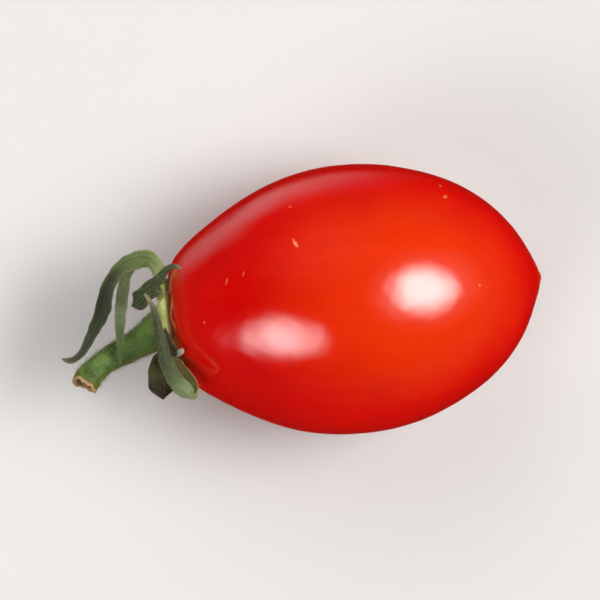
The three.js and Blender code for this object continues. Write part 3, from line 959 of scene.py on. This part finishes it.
def hairs(name, sources, seed, length, thickness):
    """One mesh of fine tapered hairs. A source is (points, triangles, hairs per square mm, part kept at each place)."""
    rng = np.random.RandomState(seed)
    co_all, faces = [], []
    base = 0
    for co, tris, density, keep in sources:
        a, b, c = co[tris[:, 0]], co[tris[:, 1]], co[tris[:, 2]]
        cross = np.cross(b - a, c - a)
        area = np.linalg.norm(cross, axis=1) / 2
        area = area * keep((a + b + c) / 3)
        number = int(area.sum() * density)
        pick = rng.choice(len(tris), number, p=area / area.sum())
        u, v = rng.rand(number, 1), rng.rand(number, 1)
        flip = (u + v) > 1
        u, v = np.where(flip, 1 - u, u), np.where(flip, 1 - v, v)
        root = a[pick] + (b[pick] - a[pick]) * u + (c[pick] - a[pick]) * v
        normal = unit(cross[pick])
        way = unit(normal + 0.45 * rng.normal(size=(number, 3)))
        size = length * np.exp(rng.normal(0, 0.35, (number, 1)))
        way2 = unit(way + 0.4 * rng.normal(size=(number, 3)) + [0, 0, -0.12])
        start = root - normal * 0.03
        middle = root + way * size * 0.55
        end = middle + way2 * size * 0.45
        s1 = unit(np.cross(way, rng.normal(size=(number, 3))))
        s2 = np.cross(way, s1)
        thick = thickness / 2 * rng.uniform(0.8, 1.2, (number, 1))
        ring = []
        for where, part in ((start, 1.0), (middle, 0.6)):
            for k in range(3):
                t = 2 * math.pi * k / 3
                ring.append(where + (s1 * math.cos(t) + s2 * math.sin(t)) * thick * part)
        ring.append(end)
        block = np.stack(ring, 1)  # number, 7, 3
        co_all.append(block.reshape(-1, 3))
        i = (base + np.arange(number) * 7)[:, None]
        pattern = [
            (0, 2, 1),
            (0, 1, 4), (0, 4, 3), (1, 2, 5), (1, 5, 4), (2, 0, 3), (2, 3, 5),
            (3, 4, 6), (4, 5, 6), (5, 3, 6),
        ]
        for f in pattern:
            faces.append(i + np.array(f)[None, :])
        base += number * 7
    co, faces = np.concatenate(co_all), np.concatenate(faces)
    mesh = bpy.data.meshes.new(name)
    mesh.from_pydata((co * MM).tolist(), [], faces.tolist())
    mesh.polygons.foreach_set("use_smooth", np.ones(len(faces), bool))
    mesh.update()
    obj = bpy.data.objects.new(name, mesh)
    bpy.context.scene.collection.objects.link(obj)
    return obj


def hair_material():
    g = Graph("fine_hair")
    colour = g.ramp(
        g.noise(0.6, 2),
        [(0.3, srgb(120, 134, 84)), (0.7, srgb(172, 180, 138))],
    )
    return g.finish(colour, 0.5, None, Specular_IOR_Level=0.3)


# -------------------------------------------------------------------- assembly


def place(made, material, slot, *nodes):
    obj = made[0]
    obj.data.materials.append(material)
    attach(obj, "root")
    if nodes:
        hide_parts(*nodes)
    return made


fruit = place(make_fruit(), fruit_material(), "fruit_skin", "fruit")
base = place(make_base(), base_material(), "calyx_pale_green", "calyx_base")
pedicel = place(make_pedicel(), pedicel_material(), "stem_green", "pedicel")

sepals = [
    place(
        make_sepal("sepal_1_arch", SEPAL_1, 110, gutter=1.3),
        sepal_material(
            "sepal_1_green",
            # Painted shade: the face of the limb, inside its curl, is painted darker from about half way along, and
            # dark=0.7 paints deep shade into its channel.
            face=[(0.0, YELLOW_GREEN), (0.15, srgb(150, 164, 104)), (0.24, srgb(92, 108, 56)), (0.38, srgb(86, 98, 56)), (0.46, srgb(68, 74, 46)), (0.54, srgb(52, 56, 38)), (0.8, srgb(52, 54, 38)), (1.0, srgb(92, 86, 68))],
            back=[(0.0, YELLOW_GREEN), (0.18, YELLOW_GREEN), (0.32, FRESH_GREEN), (0.5, GREY_GREEN), (1.0, GREY_GREEN)],
            edge=[(0.0, YELLOW_GREEN), (0.2, srgb(150, 166, 104)), (0.4, srgb(112, 120, 82)), (1.0, srgb(100, 104, 80))],
            tip_at=0.94,
            tip_colour=srgb(104, 94, 74),
            dark=0.7,
        ),
        "sepal_green",
        "sepal_1",
    ),
    place(
        make_sepal("sepal_2_strand", SEPAL_2, 120),
        sepal_material(
            "sepal_2_green",
            # Painted light: the face of the strand is painted paler around the middle of its length, standing in for
            # light where the arch of sepal_1 shades it.
            face=[(0.0, YELLOW_GREEN), (0.25, FRESH_GREEN), (0.5, srgb(112, 124, 88)), (0.72, srgb(118, 132, 98)), (0.84, srgb(80, 94, 58)), (1.0, srgb(66, 76, 46))],
            back=[(0.0, YELLOW_GREEN), (0.25, FRESH_GREEN), (0.6, srgb(92, 108, 66)), (1.0, GREY_GREEN)],
            edge=[(0.0, YELLOW_GREEN), (0.5, srgb(140, 152, 112)), (0.8, srgb(128, 138, 100)), (1.0, srgb(84, 92, 60))],
            tip_at=0.95,
            tip_colour=srgb(80, 76, 50),
            dark=0.1,
        ),
        "sepal_green",
        "sepal_2",
    ),
    place(
        make_sepal("sepal_3_folded", SEPAL_3, 130),
        sepal_material(
            "sepal_3_green",
            # Painted shade: past its root the lower layer of the fold is painted very dark on its face and rim, for the
            # shade under the upper layer.
            face=[(0.0, srgb(168, 176, 104)), (0.13, srgb(150, 158, 90)), (0.18, srgb(58, 64, 32)), (0.24, srgb(36, 42, 20)), (0.4, srgb(38, 44, 24)), (1.0, DEEP_GREEN)],
            back=[(0.0, YELLOW_GREEN), (0.2, srgb(60, 68, 36)), (0.36, srgb(40, 48, 24)), (0.6, srgb(46, 54, 30)), (0.85, srgb(52, 60, 36)), (1.0, GREY_GREEN)],
            edge=[(0.0, srgb(168, 176, 104)), (0.14, srgb(120, 128, 72)), (0.2, srgb(46, 52, 28)), (0.36, srgb(60, 68, 42)), (0.5, srgb(84, 92, 60)), (1.0, srgb(92, 98, 70))],
            tip_at=0.92,
            tip_colour=srgb(132, 118, 94),
            edge_pale=0.55,
        ),
        "sepal_green",
        "sepal_3",
    ),
    place(
        make_sepal("sepal_4_folded", SEPAL_4, 140),
        sepal_material(
            "sepal_4_green",
            face=[(0.0, YELLOW_GREEN), (0.13, srgb(130, 134, 62)), (0.2, srgb(108, 92, 46)), (0.36, srgb(108, 92, 48)), (0.44, FRESH_GREEN), (1.0, DEEP_GREEN)],
            back=[(0.0, YELLOW_GREEN), (0.25, FRESH_GREEN), (0.38, srgb(120, 138, 86)), (0.47, srgb(110, 128, 84)), (0.56, srgb(68, 82, 48)), (0.66, srgb(54, 62, 34)), (0.8, srgb(54, 62, 36)), (1.0, srgb(90, 88, 64))],
            edge=[(0.0, YELLOW_GREEN), (0.15, srgb(160, 156, 76)), (0.38, srgb(156, 152, 78)), (0.46, srgb(110, 124, 80)), (0.6, srgb(84, 92, 60)), (0.8, srgb(78, 84, 56)), (1.0, srgb(130, 120, 94))],
            tip_at=0.9,
            tip_colour=srgb(140, 124, 98),
            dark=0.2,
            edge_pale=0.7,
        ),
        "sepal_green",
        "sepal_4",
    ),
    place(
        make_sepal("sepal_5_olive", SEPAL_5, 150),
        sepal_material(
            "sepal_5_olive",
            face=[(0.0, YELLOW_GREEN), (0.3, srgb(48, 42, 20)), (1.0, BROWN)],
            back=[(0.0, YELLOW_GREEN), (0.3, srgb(36, 30, 12)), (0.56, srgb(28, 22, 10)), (0.7, srgb(34, 28, 10)), (0.82, srgb(76, 78, 40)), (1.0, BROWN)],
            edge=[(0.0, YELLOW_GREEN), (0.3, srgb(50, 42, 20)), (0.56, srgb(50, 44, 22)), (0.76, srgb(92, 94, 48)), (1.0, srgb(80, 74, 40))],
            tip_at=0.92,
            tip_colour=srgb(92, 76, 48),
            edge_pale=0.5,
        ),
        "sepal_olive",
        "sepal_5",
    ),
    place(
        make_sepal("sepal_6_withered", SEPAL_6, 160, flutter=0.12, ragged=0.14, count=120, around=48),
        sepal_material(
            "sepal_6_withered",
            face=[(0.0, OLIVE), (0.4, srgb(62, 56, 34)), (1.0, srgb(52, 44, 30))],
            back=[(0.0, OLIVE), (0.4, srgb(70, 66, 40)), (1.0, srgb(58, 50, 36))],
            edge=[(0.0, srgb(84, 76, 50)), (1.0, srgb(84, 76, 50))],
            tip_at=0.8,
            tip_colour=srgb(172, 168, 148),
            edge_pale=0.4,
        ),
        "sepal_olive",
        "sepal_6",
    ),
]

hair = hair_material()


def off_the_ends(p):
    """Hair grows on the stem, away from the calyx base and off the cut face."""
    return smoothstep(p[:, 0], -19.2, -20.0) * smoothstep(
        p @ np.array([-0.6, -0.75, 0.25]), 23.0, 22.6
    )


stem_hair = hairs(
    "pedicel_hairs", [(pedicel[1], pedicel[2], 40, off_the_ends)], 41, 0.36, 0.024
)
leaf_hair = hairs(
    "calyx_hairs",
    [
        (co, tris, 24, lambda p: smoothstep(np.hypot(p[:, 1], p[:, 2] - AXIS_Z), 3.2, 4.2))
        for _, co, tris in sepals
    ],
    42,
    0.2,
    0.018,
)
for obj, slot_name in ((stem_hair, "stem_green"), (leaf_hair, "sepal_green")):
    obj.data.materials.append(hair)
    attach(obj, "root")

# ----------------------------------------------------------------------- stage

# A pale round floor that curves up into a low wall, in metres.
FLOOR_EDGE, BEND, WALL_TOP = 1.1, 0.35, 0.5
outline = [(0.0, 0.0), (0.4, 0.0), (0.8, 0.0)]
for step in range(13):
    angle = math.pi / 2 * step / 12
    outline.append((FLOOR_EDGE + BEND * math.sin(angle), BEND * (1 - math.cos(angle))))
outline.append((FLOOR_EDGE + BEND, WALL_TOP))
ring = 96
floor_points = [(0, 0, 0)]
floor_faces = []
for row, (reach, height) in enumerate(outline[1:]):
    for k in range(ring):
        t = 2 * math.pi * k / ring
        floor_points.append((reach * math.cos(t), reach * math.sin(t), height))
    for k in range(ring):
        a, b = 1 + row * ring + k, 1 + row * ring + (k + 1) % ring
        floor_faces.append((0, a, b) if row == 0 else (a - ring, a, b, b - ring))
floor_mesh = bpy.data.meshes.new("floor")
floor_mesh.from_pydata(floor_points, [], floor_faces)
floor_mesh.polygons.foreach_set("use_smooth", np.ones(len(floor_faces), bool))
floor_mesh.update()
floor = bpy.data.objects.new("floor", floor_mesh)
bpy.context.scene.collection.objects.link(floor)
pale = Graph("pale_floor")
floor_mesh.materials.append(
    pale.finish((0.66, 0.658, 0.653, 1), 0.8, None, Specular_IOR_Level=0.0)
)
# The skin mirrors the lamps and the dim room, and not the pale floor.
floor.visible_glossy = False


def softbox(
    name, direction, distance, degrees, radiance, colour=(1, 1, 1), degrees_y=None, core=0.16
):
    """A round or oval lamp, that many degrees wide from the fruit. From the part core of its radius it fades out to its edge."""
    light = bpy.data.lights.new(name, "AREA")
    light.use_nodes = True
    nodes, links = light.node_tree.nodes, light.node_tree.links
    apart = nodes.new("ShaderNodeVectorMath")
    apart.operation = "DISTANCE"
    links.new(nodes.new("ShaderNodeNewGeometry").outputs["Parametric"], apart.inputs[0])
    apart.inputs[1].default_value = (0.5, 0.5, 0)
    fade = nodes.new("ShaderNodeMapRange")
    fade.interpolation_type = "SMOOTHSTEP"
    links.new(apart.outputs["Value"], fade.inputs["Value"])
    fade.inputs["From Min"].default_value = 0.5
    fade.inputs["From Max"].default_value = core / 2
    links.new(fade.outputs["Result"], nodes["Emission"].inputs["Strength"])
    light.size = 2 * distance * math.tan(math.radians(degrees) / 2)
    light.size_y = 2 * distance * math.tan(math.radians(degrees_y or degrees) / 2)
    light.shape = "ELLIPSE"
    light.energy = radiance * math.pi * (math.pi / 4 * light.size * light.size_y)
    light.color = colour
    obj = bpy.data.objects.new(name, light)
    way = Vector(direction).normalized()
    # The lamp's own x lies as close to the row's x as its direction allows.
    x = (Vector((1, 0, 0)) - way * way.x).normalized()
    y = way.cross(x)
    turn = Matrix((x, y, way)).transposed()
    obj.matrix_world = Matrix.Translation(Vector((0, 0, AXIS_Z * MM)) + way * distance) @ turn.to_4x4()
    obj.visible_camera = False
    bpy.context.scene.collection.objects.link(obj)
    return obj


softbox("key_softbox", (0.584, -0.01, 0.812), 2.4, 45, 12.4, (1, 0.985, 0.965), 50, 0.2)
softbox("key_glow", (0.66, 0.02, 0.75), 2.45, 76, 0.55, (1, 0.96, 0.93))
softbox("second_softbox", (-0.56, -0.43, 0.708), 2.4, 54, 2.8, (1, 0.98, 0.97), 46, 0.3)
# Only the shine meets this one, or it would light the near side too much.
second_shine = softbox(
    "second_shine", (-0.56, -0.43, 0.708), 2.41, 54, 3.0, (1, 0.98, 0.97), 46, 0.3
)
second_shine.visible_diffuse = False
softbox("side_softbox", (-0.7, -0.42, 0.58), 2.5, 44, 2.1, (1, 0.98, 0.97), 38)
far_fill = softbox("far_fill", (-0.25, 0.72, 0.65), 2.4, 80, 2.0, (1, 0.98, 0.96))
far_fill.visible_glossy = False

# A dim room, with one soft bright band low on the far side. Below the horizon
# it is dark red, which only mirrored light meets, because the floor is there.
world = bpy.data.worlds.new("soft_world")
world.use_nodes = True
tree = world.node_tree
background = tree.nodes["Background"]
where = tree.nodes.new("ShaderNodeTexCoord").outputs["Generated"]
split = tree.nodes.new("ShaderNodeSeparateXYZ")
tree.links.new(where, split.inputs[0])


def world_step(socket, low, high):
    n = tree.nodes.new("ShaderNodeMapRange")
    n.interpolation_type = "SMOOTHSTEP"
    tree.links.new(socket, n.inputs["Value"])
    n.inputs["From Min"].default_value = low
    n.inputs["From Max"].default_value = high
    return n.outputs["Result"]


def world_times(a, b):
    n = tree.nodes.new("ShaderNodeMath")
    n.operation = "MULTIPLY"
    tree.links.new(a, n.inputs[0])
    tree.links.new(b, n.inputs[1])
    return n.outputs[0]


band = world_times(
    world_step(split.outputs["Z"], -0.85, -0.6), world_step(split.outputs["Z"], -0.08, -0.5)
)
band = world_times(band, world_step(split.outputs["Y"], 0.3, 0.8))
band = world_times(band, world_step(split.outputs["X"], 0.35, -0.35))
ground = tree.nodes.new("ShaderNodeMix")
ground.data_type = "RGBA"
tree.links.new(world_step(split.outputs["Z"], 0.02, -0.12), ground.inputs[0])
ground.inputs[6].default_value = (0.02, 0.02, 0.021, 1)
ground.inputs[7].default_value = (0.35, 0.008, 0.005, 1)
bright = tree.nodes.new("ShaderNodeMix")
bright.data_type = "RGBA"
tree.links.new(band, bright.inputs[0])
tree.links.new(ground.outputs[2], bright.inputs[6])
bright.inputs[7].default_value = (0.66, 0.6, 0.58, 1)
tree.links.new(bright.outputs[2], background.inputs[0])
background.inputs[1].default_value = 1.0
bpy.context.scene.world = world
bpy.context.scene.view_settings.view_transform = "Standard"

# ---------------------------------------------------------------------- camera

# Straight down, turned 6.8 degrees, from about 0.4 m.
ROLL = math.radians(-6.8)
TARGET = (-5.21 * MM, 0.51 * MM, AXIS_Z * MM)
FRAME_WIDTH = 58.0 * MM
camera_data = bpy.data.cameras.new("camera")
camera_data.lens = 250
camera_data.sensor_width = 36
distance = FRAME_WIDTH / 36 * 250
camera_data.clip_start = 0.01
camera_data.clip_end = 20
camera = bpy.data.objects.new("camera", camera_data)
camera.location = (TARGET[0], TARGET[1], TARGET[2] + distance)
camera.rotation_euler = (0, 0, ROLL)
bpy.context.scene.collection.objects.link(camera)
bpy.context.scene.camera = camera
